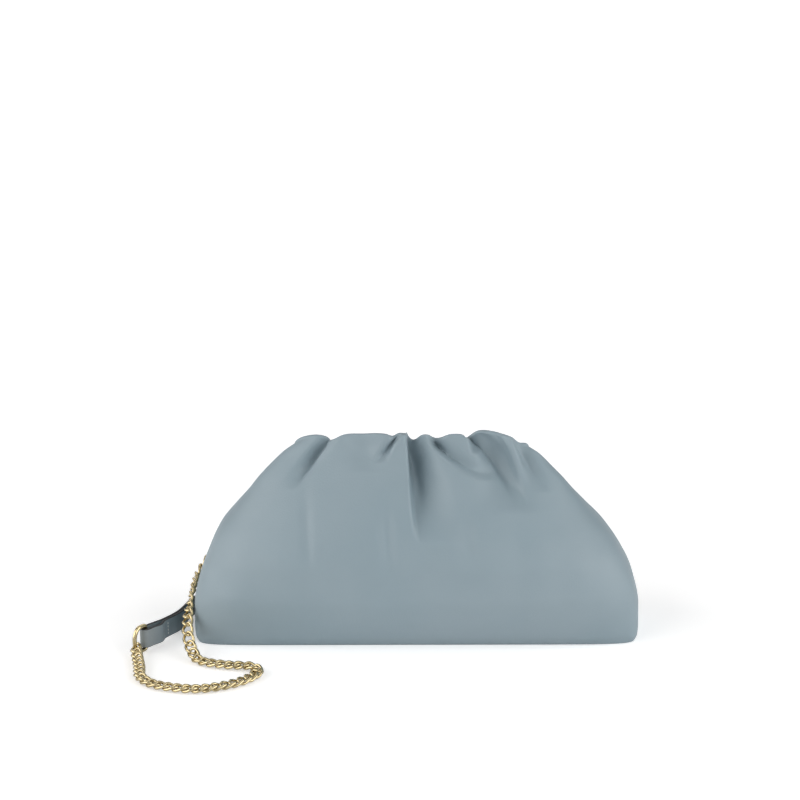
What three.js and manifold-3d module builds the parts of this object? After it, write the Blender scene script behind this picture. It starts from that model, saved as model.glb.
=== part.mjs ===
// Soft pouch bag: a leather pouch gathered at the mouth and standing on a flat base, with a shoulder
// strap that is curb chain at both ends and leather in the middle.
// Millimetres, +Z up, +X to the right end, +Y to the back. The origin is the middle of the flat base.

import * as THREE from "three";
import { mergeVertices } from "three/addons/utils/BufferGeometryUtils.js";
import Module from "manifold-3d";

const wasm = await Module();
wasm.setup();

// Pouch
const BAG_WIDTH = 322;
const BAG_DEPTH = 112;
const BAG_HEIGHT = 152;
const LEATHER = 2;
const HEM = 4; // the edge of the mouth is turned in, so it is two layers thick
const HEM_BAND = { from: 0.84, full: 0.96 }; // height shares between which the second layer begins
const LEAN_LEFT = 3.5; // the shoulders lean over to the left
const RIM_LEAN_LEFT = -0.5; // but the rim a little less
const REAR_DROP = 18; // the back of the mouth sits lower than the front
const LEFT_DROP = 2.5; // and so do the two ends of the mouth
const RIGHT_DROP = 5;
const FINEST_SLOPE = 3; // no fold of the shell is narrower than this, so that its columns can follow it
const FOLD_SQUARENESS = 2.5; // a higher one gives a fold a flatter bottom and steeper slopes
const RIM_DEPTH = 0.65; // share of a fold's depth that is left at the rim itself
const FRONT_COLUMNS = 41;
const BACK_COLUMNS = 20;
const MIDDLE_SHARE = 0.42; // how much closer together the columns are at the gather than at the ends

// Sections of the pouch from the base to the rim, as shares of its height, half width and half depth.
// A higher squareness is a boxier plan.
const SECTIONS = [
  { rise: 0.0, width: 0.978, depth: 0.6, square: 11 },
  { rise: 0.024, width: 0.99, depth: 0.665, square: 8.5 },
  { rise: 0.08, width: 0.996, depth: 0.785, square: 5.6 },
  { rise: 0.17, width: 0.996, depth: 0.91, square: 4.3 },
  { rise: 0.28, width: 0.976, depth: 0.99, square: 3.5 },
  { rise: 0.4, width: 0.93, depth: 0.99, square: 3.0 },
  { rise: 0.52, width: 0.868, depth: 0.91, square: 2.7 },
  { rise: 0.63, width: 0.789, depth: 0.79, square: 2.5 },
  { rise: 0.73, width: 0.726, depth: 0.65, square: 2.4 },
  { rise: 0.82, width: 0.676, depth: 0.51, square: 2.3 },
  { rise: 0.9, width: 0.62, depth: 0.4, square: 2.2 },
  { rise: 0.96, width: 0.57, depth: 0.345, square: 2.1 },
  { rise: 1.0, width: 0.52, depth: 0.32, square: 2.0 },
];

// Folds of the gather. Each crease starts at the rim and fans out to its foot lower down, where it fades.
// rim, foot: distances to the right of the middle; footRise: height share of the foot;
// bend: how late the crease fans out; depth: how far it goes in;
// left, right: widths of its two slopes at the rim, and leftLow, rightLow at the foot;
// dip, dipAt, dipWidth: how far the rim sinks beside it, how far to the right of it, and how broadly.
const FOLD_COLUMNS = [
  "rim", "foot", "footRise", "bend", "depth",
  "left", "right", "leftLow", "rightLow",
  "dip", "dipAt", "dipWidth",
];
const FRONT_FOLDS = table(FOLD_COLUMNS, [
  [-59, -84, 0.76, 1, 11, 5, 1.3, 9, 1.6, 7, 1.5, 5],
  [-36, -31, 0.84, 1, 4, 13, 12, 10, 9, 2, 0, 12],
  [-14.5, -24, 0.87, 1, 6, 3.4, 1.8, 6, 4, 3, -0.5, 2.8],
  [-2.5, 14, 0.54, 1.3, 19.5, 1.8, 8, 9, 21, 9, 4, 4],
  [13, 56, 0.79, 1.4, 7.5, 2.4, 7, 5, 8, 6, 5, 6],
  [36, 77, 0.66, 0.6, 12.5, 2.6, 12, 22, 13, 8.5, 5, 4.2],
  [60, 80, 0.68, 0.8, 5, 9, 2.5, 12, 3.5, -1, -11, 5],
  [75, 90, 0.74, 1, 7, 3, 7, 4, 10, 9, 5.5, 5],
]);
const BACK_FOLDS = table(FOLD_COLUMNS, [
  [-56, -84, 0.72, 1, 7, 7, 4, 14, 8, 4, 0, 6],
  [-34, -52, 0.66, 1, 8, 7, 4, 14, 8, 4, 0, 6],
  [-10, -18, 0.62, 1, 9, 8, 4, 14, 9, 5, 0, 6],
  [14, 20, 0.68, 1, 8, 4, 7, 8, 14, 4, 0, 6],
  [36, 52, 0.64, 1, 9, 4, 7, 9, 14, 5, 0, 6],
  [56, 82, 0.74, 1, 6, 4, 7, 8, 14, 4, 0, 6],
]);

// Chain and strap
const WIRE = 2.1;
const LINK_PITCH = 9;
const LINK_WIDTH = 8.8;
const LINK_DEPTH = 4.6; // the links are twisted, so the chain is this thick
const LINK_BITE = 0.6; // neighbouring links press into each other by this much
const LINK_HALF_LENGTH = (LINK_PITCH + WIRE - LINK_BITE) / 2; // to the middle of its wire
const LINK_SIDES = 10;
const WIRE_SIDES = 5;
const GAP = 0.3; // clear space left between pieces
const LINK_SLACK = 1.2; // how loosely a link hangs on the wire that holds it
const RING_WIRE = 3.1;
const RING_HEIGHT = 18; // along the middle of its wire
const RING_LENGTH = 11.4;
const RING_SIDES = 14;
const RING_HELD_AT = 6; // height of the point where a link holds a ring
const RING_CENTRE = RING_HEIGHT / 2 + RING_WIRE / 2 + GAP; // its height above the floor
const STRAP_WIDTH = 14;
const STRAP_THICKNESS = 2;
const STRAP_FOLD = 52; // how far each end is folded back
const STRAP_STEPS = 28;
const STRAP_LIFTED = { full: 14, none: 60 }; // distances from a ring within which it is off the floor
const EYE_WIRE = 1.8;
const EYE_HEIGHT = 7.8; // along the middle of its wire
const EYE_LENGTH = 9;
const EYE_SIDES = 10;
const EYE_CENTRE = 2 * GAP + EYE_WIRE + EYE_HEIGHT / 2; // its height above the leather
const EYE_PLATE = { length: 12, width: 6, thickness: 1.4 };
const CHAIN_TUBE = { radius: 2.8, sides: 8, steps: 28 };
const CHAIN_ON_FLOOR = LINK_DEPTH / 2 + 3 * GAP; // height of its middle

// The two rings stand on the floor; each heads along the end of the strap that it holds.
const RING_LEFT = { x: -196, y: -48, heading: Math.atan2(0.8, 0.6) };
const RING_RIGHT = { x: 65.7, y: 64, heading: Math.PI };

// Middle line of the leather strap, standing on its edge on the floor, from the left ring round behind
// the bag.
const STRAP_ROUTE = [
  [-192.6, -43.4],
  [-187.2, -34.5],
  [-182, -24],
  [-177.2, -12.5],
  [-173.4, -1.5],
  [-170.4, 9],
  [-166, 24],
  [-155, 42],
  [-135, 55],
  [-105, 62],
  [-60, 64],
  [0, 64],
  [60, 64],
];

const leatherPale = () => new THREE.MeshStandardMaterial({ color: 0x9fb0b8, roughness: 0.55 });
const leatherStrap = () => new THREE.MeshStandardMaterial({ color: 0x7b8a92, roughness: 0.5 });
const goldMetal = () => new THREE.MeshStandardMaterial({ color: 0xd9b36a, roughness: 0.25, metalness: 1 });

function table(columns, rows) {
  return rows.map((row) => Object.fromEntries(columns.map((name, i) => [name, row[i]])));
}

// A smooth curve through one column of the section table that never overshoots its rows.
function sectionValue(column, rise) {
  const rows = SECTIONS;
  const last = rows.length - 1;
  const slope = (i) => (rows[i + 1][column] - rows[i][column]) / (rows[i + 1].rise - rows[i].rise);
  const tangent = (i) => {
    if (i === 0) return slope(0);
    if (i === last) return slope(last - 1);
    const before = slope(i - 1);
    const after = slope(i);
    return before * after <= 0 ? 0 : (2 * before * after) / (before + after);
  };
  let i = 0;
  while (i < last - 1 && rise > rows[i + 1].rise) i += 1;
  const span = rows[i + 1].rise - rows[i].rise;
  const t = (rise - rows[i].rise) / span;
  const rest = 1 - t;
  return (
    rows[i][column] * (1 + 2 * t) * rest * rest +
    tangent(i) * span * t * rest * rest +
    rows[i + 1][column] * t * t * (3 - 2 * t) -
    tangent(i + 1) * span * t * t * rest
  );
}

const smooth = (low, high, value) => THREE.MathUtils.smoothstep(value, low, high);

// How far the folds of one side pull the wall inward, and its rim down, at a place along the bag.
// Under a thickness of leather each fold is wider by that thickness.
function foldShift(folds, along, rise, thickness) {
  const shift = { depth: 0, dip: 0 };
  for (const fold of folds) {
    const down = (1 - rise) / (1 - fold.footRise);
    if (down >= 1) continue;
    const across = along - fold.rim - (fold.foot - fold.rim) * down ** fold.bend;
    const slope =
      across < 0
        ? THREE.MathUtils.lerp(fold.left, fold.leftLow, down)
        : THREE.MathUtils.lerp(fold.right, fold.rightLow, down);
    const width = Math.max(FINEST_SLOPE, slope) + thickness;
    const fading = (1 - down ** 3) ** 1.5;
    const strength = fading * THREE.MathUtils.lerp(RIM_DEPTH, 1, smooth(0, 0.3, down));
    const sunk = (across - fold.dipAt) / (fold.dipWidth + thickness);
    shift.depth += fold.depth * strength * Math.exp(-(Math.abs(across / width) ** FOLD_SQUARENESS));
    shift.dip += fold.dip * fading * Math.exp(-(sunk ** 2));
  }
  return shift;
}

// A point of the pouch's wall, on the outside or under a thickness of leather.
// The angle goes round from the right end (0) by the back to the left end.
function wallPoint(angle, rise, thickness = 0) {
  const halfWidth = (sectionValue("width", rise) * BAG_WIDTH) / 2;
  const halfDepth = (sectionValue("depth", rise) * BAG_DEPTH) / 2;
  const square = sectionValue("square", rise);
  const side = Math.sin(angle) >= 0 ? 1 : -1;
  const across = Math.cos(angle);
  const bulge = Math.max(0, 1 - Math.abs(across) ** square) ** (1 / square);
  const x = across * halfWidth;
  const y = side * bulge * halfDepth;
  const outward = new THREE.Vector2(
    (Math.sign(across) * Math.abs(across) ** (square - 1)) / halfWidth,
    (side * bulge ** (square - 1)) / halfDepth,
  ).normalize();
  const towardEnd = 1 - across ** 8;
  const fold = foldShift(side > 0 ? BACK_FOLDS : FRONT_FOLDS, x, rise, thickness);
  const inward = fold.depth * towardEnd + thickness;
  const top = smooth(0.55, 1, rise);
  const rear = smooth(-1, 1, side * bulge);
  const endDrop = (across < 0 ? LEFT_DROP : RIGHT_DROP) * across ** 4;
  const drop = REAR_DROP * rear + endDrop + fold.dip * towardEnd;
  const lean = LEAN_LEFT * smooth(0.3, 0.65, rise) + RIM_LEAN_LEFT * smooth(0.85, 1, rise);
  return new THREE.Vector3(
    x - outward.x * inward - lean,
    y - outward.y * inward,
    rise * BAG_HEIGHT - top * drop,
  );
}

function columnAngles() {
  const angles = [];
  const turn = (i, count) => {
    const share = i / count;
    return Math.PI * (share + (MIDDLE_SHARE * Math.sin(2 * Math.PI * share)) / (2 * Math.PI));
  };
  for (let i = 0; i < BACK_COLUMNS; i += 1) angles.push(turn(i, BACK_COLUMNS));
  for (let i = 0; i < FRONT_COLUMNS; i += 1) angles.push(Math.PI + turn(i, FRONT_COLUMNS));
  return angles;
}

function wallNormal(angle, rise) {
  const step = 0.004;
  const high = Math.min(1, rise + step);
  const low = Math.max(0, rise - step);
  const around = wallPoint(angle + step, rise).sub(wallPoint(angle - step, rise));
  const upward = wallPoint(angle, high).sub(wallPoint(angle, low));
  return around.cross(upward).normalize();
}

// Joins rings of the same number of points into one closed skin, with a flat fan at the first and last.
function closedSkin(rings) {
  const count = rings[0].length;
  const points = rings.flat();
  const faces = [];
  for (let r = 0; r + 1 < rings.length; r += 1) {
    for (let i = 0; i < count; i += 1) {
      const next = (i + 1) % count;
      const a = r * count + i;
      const b = r * count + next;
      faces.push(a, b, b + count, a, b + count, a + count);
    }
  }
  const centre = (ring) => ring.reduce((sum, p) => sum.add(p), new THREE.Vector3()).divideScalar(count);
  const first = points.push(centre(rings[0])) - 1;
  const last = points.push(centre(rings[rings.length - 1])) - 1;
  const lastRing = (rings.length - 1) * count;
  for (let i = 0; i < count; i += 1) {
    const next = (i + 1) % count;
    faces.push(first, next, i);
    faces.push(last, lastRing + i, lastRing + next);
  }
  const geometry = new THREE.BufferGeometry().setFromPoints(points);
  geometry.setIndex(faces);
  return geometry;
}

function bagGeometry() {
  const angles = columnAngles();
  const rises = SECTIONS.map((row) => row.rise);
  const outside = rises.map((rise) => angles.map((angle) => wallPoint(angle, rise)));
  const inside = rises.map((rise) => {
    const thickness = THREE.MathUtils.lerp(LEATHER, HEM, smooth(HEM_BAND.from, HEM_BAND.full, rise));
    return angles.map((angle) => wallPoint(angle, rise, thickness));
  });
  inside[0].forEach((point) => point.setZ(LEATHER));
  const rim = outside.length - 1;
  const crest = outside[rim].map((point, i) => {
    const middle = point.clone().lerp(inside[rim][i], 0.5);
    middle.z += HEM / 4;
    return middle;
  });
  return closedSkin([...outside, crest, ...inside.reverse()]);
}

// A wire bent into a closed loop along middle(turn); its section keeps to a steady direction.
function wireLoop(middle, steady, radius, steps, sides) {
  const points = [];
  for (let s = 0; s < steps; s += 1) {
    const turn = (2 * Math.PI * s) / steps;
    const here = middle(turn);
    const along = middle(turn + 0.01).sub(middle(turn - 0.01)).normalize();
    const flat = steady.clone().addScaledVector(along, -steady.dot(along)).normalize();
    const over = along.clone().cross(flat);
    for (let k = 0; k < sides; k += 1) {
      const angle = (2 * Math.PI * k) / sides;
      const point = here.clone().addScaledVector(flat, radius * Math.cos(angle));
      points.push(point.addScaledVector(over, radius * Math.sin(angle)));
    }
  }
  const faces = [];
  for (let s = 0; s < steps; s += 1) {
    for (let k = 0; k < sides; k += 1) {
      const a = s * sides + k;
      const b = s * sides + ((k + 1) % sides);
      const c = ((s + 1) % steps) * sides + k;
      const d = ((s + 1) % steps) * sides + ((k + 1) % sides);
      faces.push(a, b, d, a, d, c);
    }
  }
  const geometry = new THREE.BufferGeometry().setFromPoints(points);
  geometry.setIndex(faces);
  return geometry;
}

// One twisted curb link about its own middle, long way along X, lying flat in XY.
function linkGeometry() {
  const halfWidth = (LINK_WIDTH - WIRE) / 2;
  const twist = (LINK_DEPTH - WIRE) / 2;
  const middle = (turn) =>
    new THREE.Vector3(
      LINK_HALF_LENGTH * Math.cos(turn),
      halfWidth * Math.sin(turn),
      -twist * Math.sin(2 * turn),
    );
  return wireLoop(middle, new THREE.Vector3(0, 0, 1), WIRE / 2, LINK_SIDES, WIRE_SIDES);
}

function solidOf(geometry) {
  const bare = new THREE.BufferGeometry();
  bare.setAttribute("position", geometry.getAttribute("position"));
  if (geometry.index) bare.setIndex(geometry.index);
  const merged = mergeVertices(bare, 1e-4);
  return new wasm.Manifold(
    new wasm.Mesh({
      numProp: 3,
      vertProperties: new Float32Array(merged.getAttribute("position").array),
      triVerts: new Uint32Array(merged.index.array),
    }),
  );
}

function geometryOf(solid) {
  const mesh = solid.getMesh();
  const geometry = new THREE.BufferGeometry();
  geometry.setAttribute("position", new THREE.BufferAttribute(mesh.vertProperties, 3));
  geometry.setIndex(new THREE.BufferAttribute(mesh.triVerts, 1));
  return geometry;
}

// A place on the outside of the pouch, lifted off it, with the way the wall faces there.
function onWall(degrees, rise, lift) {
  const angle = THREE.MathUtils.degToRad(degrees);
  const face = wallNormal(angle, rise);
  return { at: wallPoint(angle, rise).addScaledVector(face, lift), face };
}

const place = (x, y, z, face) => ({ at: new THREE.Vector3(x, y, z), face: new THREE.Vector3(...face) });

const UP = [0, 0, 1];

// Axes of an eye on the back of the pouch: X along the chain that leaves it, Z out of the leather.
function eyeFrame(eye) {
  const foot = onWall(eye.degrees, eye.rise, 0);
  const along = onWall(eye.towardDegrees, eye.towardRise, 0).at.sub(foot.at);
  along.addScaledVector(foot.face, -along.dot(foot.face)).normalize();
  const across = foot.face.clone().cross(along);
  return new THREE.Matrix4().makeBasis(along, across, foot.face).setPosition(foot.at);
}

// The place of a link that hangs in an eye, or of one further down the chain.
function eyeLink(eye, further) {
  const reach = EYE_LENGTH / 2 - (EYE_WIRE + WIRE) / 2 - LINK_SLACK + LINK_HALF_LENGTH;
  const frame = eyeFrame(eye);
  const face = new THREE.Vector3(0, 0, 1).transformDirection(frame);
  return { at: new THREE.Vector3(reach + further, 0, EYE_CENTRE).applyMatrix4(frame), face };
}

// The place of the link that holds a ring by its side away from the strap, or of one further back, for a
// chain that comes in along approach.
function ringLink(ring, approach, further) {
  const below = (RING_CENTRE - RING_HELD_AT) / (RING_HEIGHT / 2);
  const inset = Math.sqrt(1 - below ** 2);
  const forward = new THREE.Vector3(Math.cos(ring.heading), Math.sin(ring.heading), 0);
  const wire = new THREE.Vector3(ring.x, ring.y, RING_HELD_AT);
  wire.addScaledVector(forward, (-RING_LENGTH / 2) * inset);
  const along = new THREE.Vector3(...approach).normalize();
  const back = LINK_HALF_LENGTH - (RING_WIRE + WIRE) / 2 - LINK_SLACK + further;
  const face = new THREE.Vector3(0, 0, RING_HEIGHT * inset);
  face.addScaledVector(forward, -RING_LENGTH * below);
  face.addScaledVector(along, -face.dot(along)).normalize();
  return { at: wire.addScaledVector(along, -back), face };
}

const EYE_LEFT = { degrees: 146, rise: 0.84, towardDegrees: 141, towardRise: 0.7 };
const EYE_RIGHT = { degrees: 36, rise: 0.84, towardDegrees: 39, towardRise: 0.7 };

// The visible chain: down behind the left shoulder, round the left end, then a loop on the floor.
function leftChainRoute() {
  return [
    eyeLink(EYE_LEFT, 0),
    eyeLink(EYE_LEFT, LINK_PITCH),
    onWall(139, 0.67, 3.6),
    onWall(140, 0.55, 3.6),
    onWall(144, 0.45, 3.6),
    onWall(155, 0.35, 3.4),
    onWall(165, 0.27, 3.4),
    onWall(173, 0.22, 3.4),
    place(-163, 0, 30, [-1, -0.1, 0.1]),
    place(-163.6, -12, 26.4, [-0.9, -0.3, 0.2]),
    place(-163.8, -25, 22.5, [-0.5, -0.7, 0.5]),
    place(-163.2, -38, 19, [-0.2, -0.8, 0.55]),
    place(-162, -48, 14, [-0.1, -0.7, 0.7]),
    place(-159, -57, 7.5, [0, -0.4, 0.9]),
    place(-153.5, -66, CHAIN_ON_FLOOR, UP),
    place(-145, -72, CHAIN_ON_FLOOR, UP),
    place(-131, -76, CHAIN_ON_FLOOR, UP),
    place(-116, -78.5, CHAIN_ON_FLOOR, UP),
    place(-110, -86, CHAIN_ON_FLOOR, UP),
    place(-115, -98, CHAIN_ON_FLOOR, UP),
    place(-127, -108.5, CHAIN_ON_FLOOR, UP),
    place(-148, -116, CHAIN_ON_FLOOR, UP),
    place(-167, -113.5, CHAIN_ON_FLOOR, UP),
    place(-182, -106.5, CHAIN_ON_FLOOR, UP),
    place(-190.5, -95, CHAIN_ON_FLOOR, UP),
    place(-193, -80, CHAIN_ON_FLOOR, UP),
    ringLink(RING_LEFT, [-0.2, 0.98, 0.15], LINK_PITCH),
    ringLink(RING_LEFT, [-0.2, 0.98, 0.15], 0),
  ];
}

// The hidden chain: down the back of the right shoulder to the floor and round behind the bag to its ring.
function rightChainRoute() {
  return [
    eyeLink(EYE_RIGHT, 0),
    eyeLink(EYE_RIGHT, LINK_PITCH),
    onWall(41, 0.67, 4.2),
    onWall(40, 0.55, 4.2),
    onWall(37, 0.45, 4.2),
    onWall(31, 0.33, 4.2),
    onWall(27, 0.2, 5),
    place(146, 58, 5, UP),
    place(148, 76, CHAIN_ON_FLOOR, UP),
    place(140, 96, CHAIN_ON_FLOOR, UP),
    place(128, 116, CHAIN_ON_FLOOR, UP),
    place(122, 140, CHAIN_ON_FLOOR, UP),
    place(106, 158, CHAIN_ON_FLOOR, UP),
    place(86, 152, CHAIN_ON_FLOOR, UP),
    place(80, 130, CHAIN_ON_FLOOR, UP),
    place(88, 106, CHAIN_ON_FLOOR, UP),
    place(90, 84, CHAIN_ON_FLOOR, UP),
    ringLink(RING_RIGHT, [-1, -0.4, 0.3], LINK_PITCH),
    ringLink(RING_RIGHT, [-1, -0.4, 0.3], 0.6),
  ];
}

// Frames for links at an even pitch along a route.
function linkFrames(route) {
  const path = new THREE.CatmullRomCurve3(route.map((row) => row.at), false, "centripetal");
  const facing = new THREE.CatmullRomCurve3(route.map((row) => row.face), false, "centripetal");
  path.arcLengthDivisions = 2000;
  const count = Math.ceil(path.getLength() / LINK_PITCH);
  const frames = [];
  for (let i = 0; i <= count; i += 1) {
    const t = path.getUtoTmapping(i / count);
    const along = path.getTangent(t);
    const face = facing.getPoint(t);
    face.addScaledVector(along, -face.dot(along)).normalize();
    const across = face.clone().cross(along);
    frames.push(new THREE.Matrix4().makeBasis(along, across, face).setPosition(path.getPoint(t)));
  }
  return frames;
}

function chainGeometry(route) {
  const link = linkGeometry();
  let chain = null;
  for (const frame of linkFrames(route)) {
    const solid = solidOf(link.clone().applyMatrix4(frame));
    chain = chain ? chain.add(solid) : solid;
  }
  return geometryOf(chain);
}

function chainTubeGeometry(route) {
  const path = new THREE.CatmullRomCurve3(route.map((row) => row.at), false, "centripetal");
  const section = new THREE.Shape();
  for (let k = 0; k < CHAIN_TUBE.sides; k += 1) {
    const angle = (2 * Math.PI * k) / CHAIN_TUBE.sides;
    const point = [CHAIN_TUBE.radius * Math.cos(angle), CHAIN_TUBE.radius * Math.sin(angle)];
    if (k === 0) section.moveTo(...point);
    else section.lineTo(...point);
  }
  section.closePath();
  return new THREE.ExtrudeGeometry(section, {
    steps: CHAIN_TUBE.steps,
    extrudePath: path,
    bevelEnabled: false,
  });
}

// A D-shaped ring standing on the floor, its long way upright and its short way along its heading.
// It is straight where the strap turns round it, and round where the chain holds it.
function ringGeometry(ring) {
  const centre = new THREE.Vector3(ring.x, ring.y, RING_CENTRE);
  const forward = new THREE.Vector3(Math.cos(ring.heading), Math.sin(ring.heading), 0);
  const upward = new THREE.Vector3(0, 0, 1);
  const sideways = forward.clone().cross(upward);
  const middle = (turn) => {
    const power = Math.cos(turn) > 0 ? 0.3 : 1;
    const shaped = (value) => Math.sign(value) * Math.abs(value) ** power;
    return centre
      .clone()
      .addScaledVector(forward, (RING_LENGTH / 2) * shaped(Math.cos(turn)))
      .addScaledVector(upward, (RING_HEIGHT / 2) * shaped(Math.sin(turn)));
  };
  return wireLoop(middle, sideways, RING_WIRE / 2, RING_SIDES, WIRE_SIDES);
}

// The leather middle of the strap seen from above: one long ribbon that turns round each ring and lies
// back on itself.
function strapGeometry() {
  const curve = new THREE.CatmullRomCurve3(
    STRAP_ROUTE.map(([x, y]) => new THREE.Vector3(x, y, 0)),
    false,
    "centripetal",
  );
  const run = curve.getSpacedPoints(STRAP_STEPS);
  const eye = RING_WIRE / 2 + 2 * GAP + STRAP_THICKNESS / 2;
  const sideStep = STRAP_THICKNESS + GAP;
  const leftEnd = foldedEnd(run, eye, sideStep);
  const rightEnd = foldedEnd([...run].reverse(), eye, -sideStep);
  return ribbonGeometry([...leftEnd.reverse(), ...run.slice(2, -2), ...rightEnd]);
}

// From the main run near one end, round the ring's wire and back beside the run, as points in order.
function foldedEnd(run, eye, sideStep) {
  const start = run[0];
  const ahead = run[1].clone().sub(start).normalize();
  const side = new THREE.Vector3(ahead.y, -ahead.x, 0).multiplyScalar(Math.sign(sideStep));
  const points = [];
  const turns = 8;
  for (let i = 0; i <= turns; i += 1) {
    const angle = -Math.PI / 2 + (Math.PI * i) / turns;
    points.push(
      start
        .clone()
        .addScaledVector(ahead, -eye * Math.cos(angle))
        .addScaledVector(side, eye * Math.sin(angle)),
    );
  }
  let covered = 0;
  for (let i = 1; covered < STRAP_FOLD; i += 1) {
    const forward = run[i + 1].clone().sub(run[i - 1]).normalize();
    const away = new THREE.Vector3(forward.y, -forward.x, 0).multiplyScalar(sideStep);
    covered += run[i].distanceTo(run[i - 1]);
    if (i > 1) points.push(run[i].clone().add(away));
  }
  return points;
}

function ribbonGeometry(middle) {
  const left = [];
  const right = [];
  middle.forEach((point, i) => {
    const before = middle[Math.max(i - 1, 0)];
    const after = middle[Math.min(i + 1, middle.length - 1)];
    const ahead = after.clone().sub(before).normalize();
    const side = new THREE.Vector2(-ahead.y, ahead.x).multiplyScalar(STRAP_THICKNESS / 2);
    left.push(new THREE.Vector2(point.x + side.x, point.y + side.y));
    right.push(new THREE.Vector2(point.x - side.x, point.y - side.y));
  });
  const outline = new THREE.Shape([...right, ...left.reverse()]);
  const ribbon = new THREE.ExtrudeGeometry(outline, { depth: STRAP_WIDTH, bevelEnabled: false });
  return liftNearRings(ribbon);
}

// The strap's edge rests on the floor, but inside each ring it is carried clear of the ring's lower side.
function liftNearRings(ribbon) {
  const lift = RING_CENTRE - STRAP_WIDTH / 2;
  const points = ribbon.getAttribute("position");
  for (let i = 0; i < points.count; i += 1) {
    const distance = (ring) => Math.hypot(points.getX(i) - ring.x, points.getY(i) - ring.y);
    const nearest = Math.min(distance(RING_LEFT), distance(RING_RIGHT));
    const lowered = smooth(STRAP_LIFTED.full, STRAP_LIFTED.none, nearest);
    points.setZ(i, points.getZ(i) + lift * (1 - lowered));
  }
  return ribbon;
}

// A plain metal eye on a small plate, hidden behind the end of the mouth. A chain hangs from it.
function eyeGeometry(eye) {
  const frame = eyeFrame(eye);
  const loop = wireLoop(
    (turn) =>
      new THREE.Vector3(
        (EYE_LENGTH / 2) * Math.cos(turn),
        0,
        EYE_CENTRE + (EYE_HEIGHT / 2) * Math.sin(turn),
      ),
    new THREE.Vector3(0, 1, 0),
    EYE_WIRE / 2,
    EYE_SIDES,
    WIRE_SIDES + 1,
  );
  const plate = new THREE.BoxGeometry(EYE_PLATE.length, EYE_PLATE.width, EYE_PLATE.thickness);
  plate.translate(0, 0, 4 * GAP + EYE_PLATE.thickness / 2);
  return geometryOf(solidOf(loop.applyMatrix4(frame)).add(solidOf(plate.applyMatrix4(frame))));
}

function piece(name, geometry, material) {
  const mesh = new THREE.Mesh(geometry, material);
  mesh.name = name;
  return mesh;
}

const bag = new THREE.Group();
bag.add(piece("bag_body", bagGeometry(), leatherPale()));
bag.add(piece("chain_left", chainGeometry(leftChainRoute()), goldMetal()));
bag.add(piece("chain_right", chainTubeGeometry(rightChainRoute()), goldMetal()));
bag.add(piece("strap_leather", strapGeometry(), leatherStrap()));
bag.add(piece("ring_left", ringGeometry(RING_LEFT), goldMetal()));
bag.add(piece("ring_right", ringGeometry(RING_RIGHT), goldMetal()));
bag.add(piece("anchor_left", eyeGeometry(EYE_LEFT), goldMetal()));
bag.add(piece("anchor_right", eyeGeometry(EYE_RIGHT), goldMetal()));

export default bag;
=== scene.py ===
"""Soft gathered pouch bag with a curb chain and leather shoulder strap, dressed over its CAD frame.

Shapes are worked out in millimetres, in the frame of the CAD model.
They become metres when a mesh is made.
"""

import math

import bpy
import numpy as np
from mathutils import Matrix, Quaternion, Vector


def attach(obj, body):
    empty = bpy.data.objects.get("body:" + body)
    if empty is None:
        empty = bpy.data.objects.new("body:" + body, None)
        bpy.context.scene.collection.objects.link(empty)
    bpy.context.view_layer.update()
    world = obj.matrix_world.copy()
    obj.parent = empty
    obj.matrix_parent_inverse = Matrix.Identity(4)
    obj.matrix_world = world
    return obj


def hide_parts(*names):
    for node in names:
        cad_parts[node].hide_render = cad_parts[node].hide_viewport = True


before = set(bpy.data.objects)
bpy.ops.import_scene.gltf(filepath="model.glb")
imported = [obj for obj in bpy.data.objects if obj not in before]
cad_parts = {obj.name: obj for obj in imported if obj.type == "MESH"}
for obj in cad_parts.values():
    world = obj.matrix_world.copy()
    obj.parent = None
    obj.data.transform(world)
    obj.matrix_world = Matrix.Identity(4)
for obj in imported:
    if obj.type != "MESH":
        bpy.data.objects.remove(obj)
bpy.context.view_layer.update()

MM = 0.001
UP = (0, 0, 1)


def table(columns, rows):
    """Rows of numbers, each under the names of its columns."""
    return [dict(zip(columns, row)) for row in rows]


# Pouch
BAG_WIDTH = 322
BAG_DEPTH = 112
BAG_HEIGHT = 152
LEATHER = 2
HEM = 4  # the edge of the mouth is turned in, so it is two layers thick
HEM_BAND = (0.84, 0.96)  # height shares between which the second layer begins
LEAN_LEFT = 3.5  # the shoulders lean over to the left
LEAN_BAND = (0.3, 0.65)  # height shares between which they do
RIM_LEAN_LEFT = -0.5  # but the rim a little less
RIM_LEAN_BAND = (0.85, 1)
REAR_DROP = 18  # the back of the mouth sits lower than the front
LEFT_DROP = 2.5  # and so do the two ends of the mouth
RIGHT_DROP = 5
DROP_BAND = (0.55, 1)
END_DROP_POWER = 4  # a higher one keeps the drop of the ends closer to them
END_FADE_POWER = 8  # a higher one lets folds and dents run further toward the ends
FOLD_SQUARENESS = 2.5  # a higher one gives a fold a flatter bottom and steeper slopes
FOLD_REACH = 3  # a higher one keeps a fold deep for longer on its way down
FOLD_SOFTNESS = 1.5  # a higher one ends it more softly at its foot
RIM_DEPTH = 0.75  # share of a fold's depth that is left at the rim itself
RIM_STRETCH = 0.3  # share of a fold's length over which it reaches its full depth
LIP_AT = 2.2  # the lip of a fold stands this many slope widths from the crease
LIP_SPREAD = 1.6  # it is this many slope widths broad
LIP_ROUNDING = 1  # and this much more

# Mesh of the pouch
FRONT_COLUMNS = 320
BACK_COLUMNS = 120
OUTER_ROWS = 150
RIM_ROWS = 9
INNER_ROWS = 40
ROW_CROWDING = 0.35  # rows are this share closer together at the rim, and further apart at the base
WALL_STEP = 0.004  # share of the height, or radians, over which the slope of the wall is taken

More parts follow.
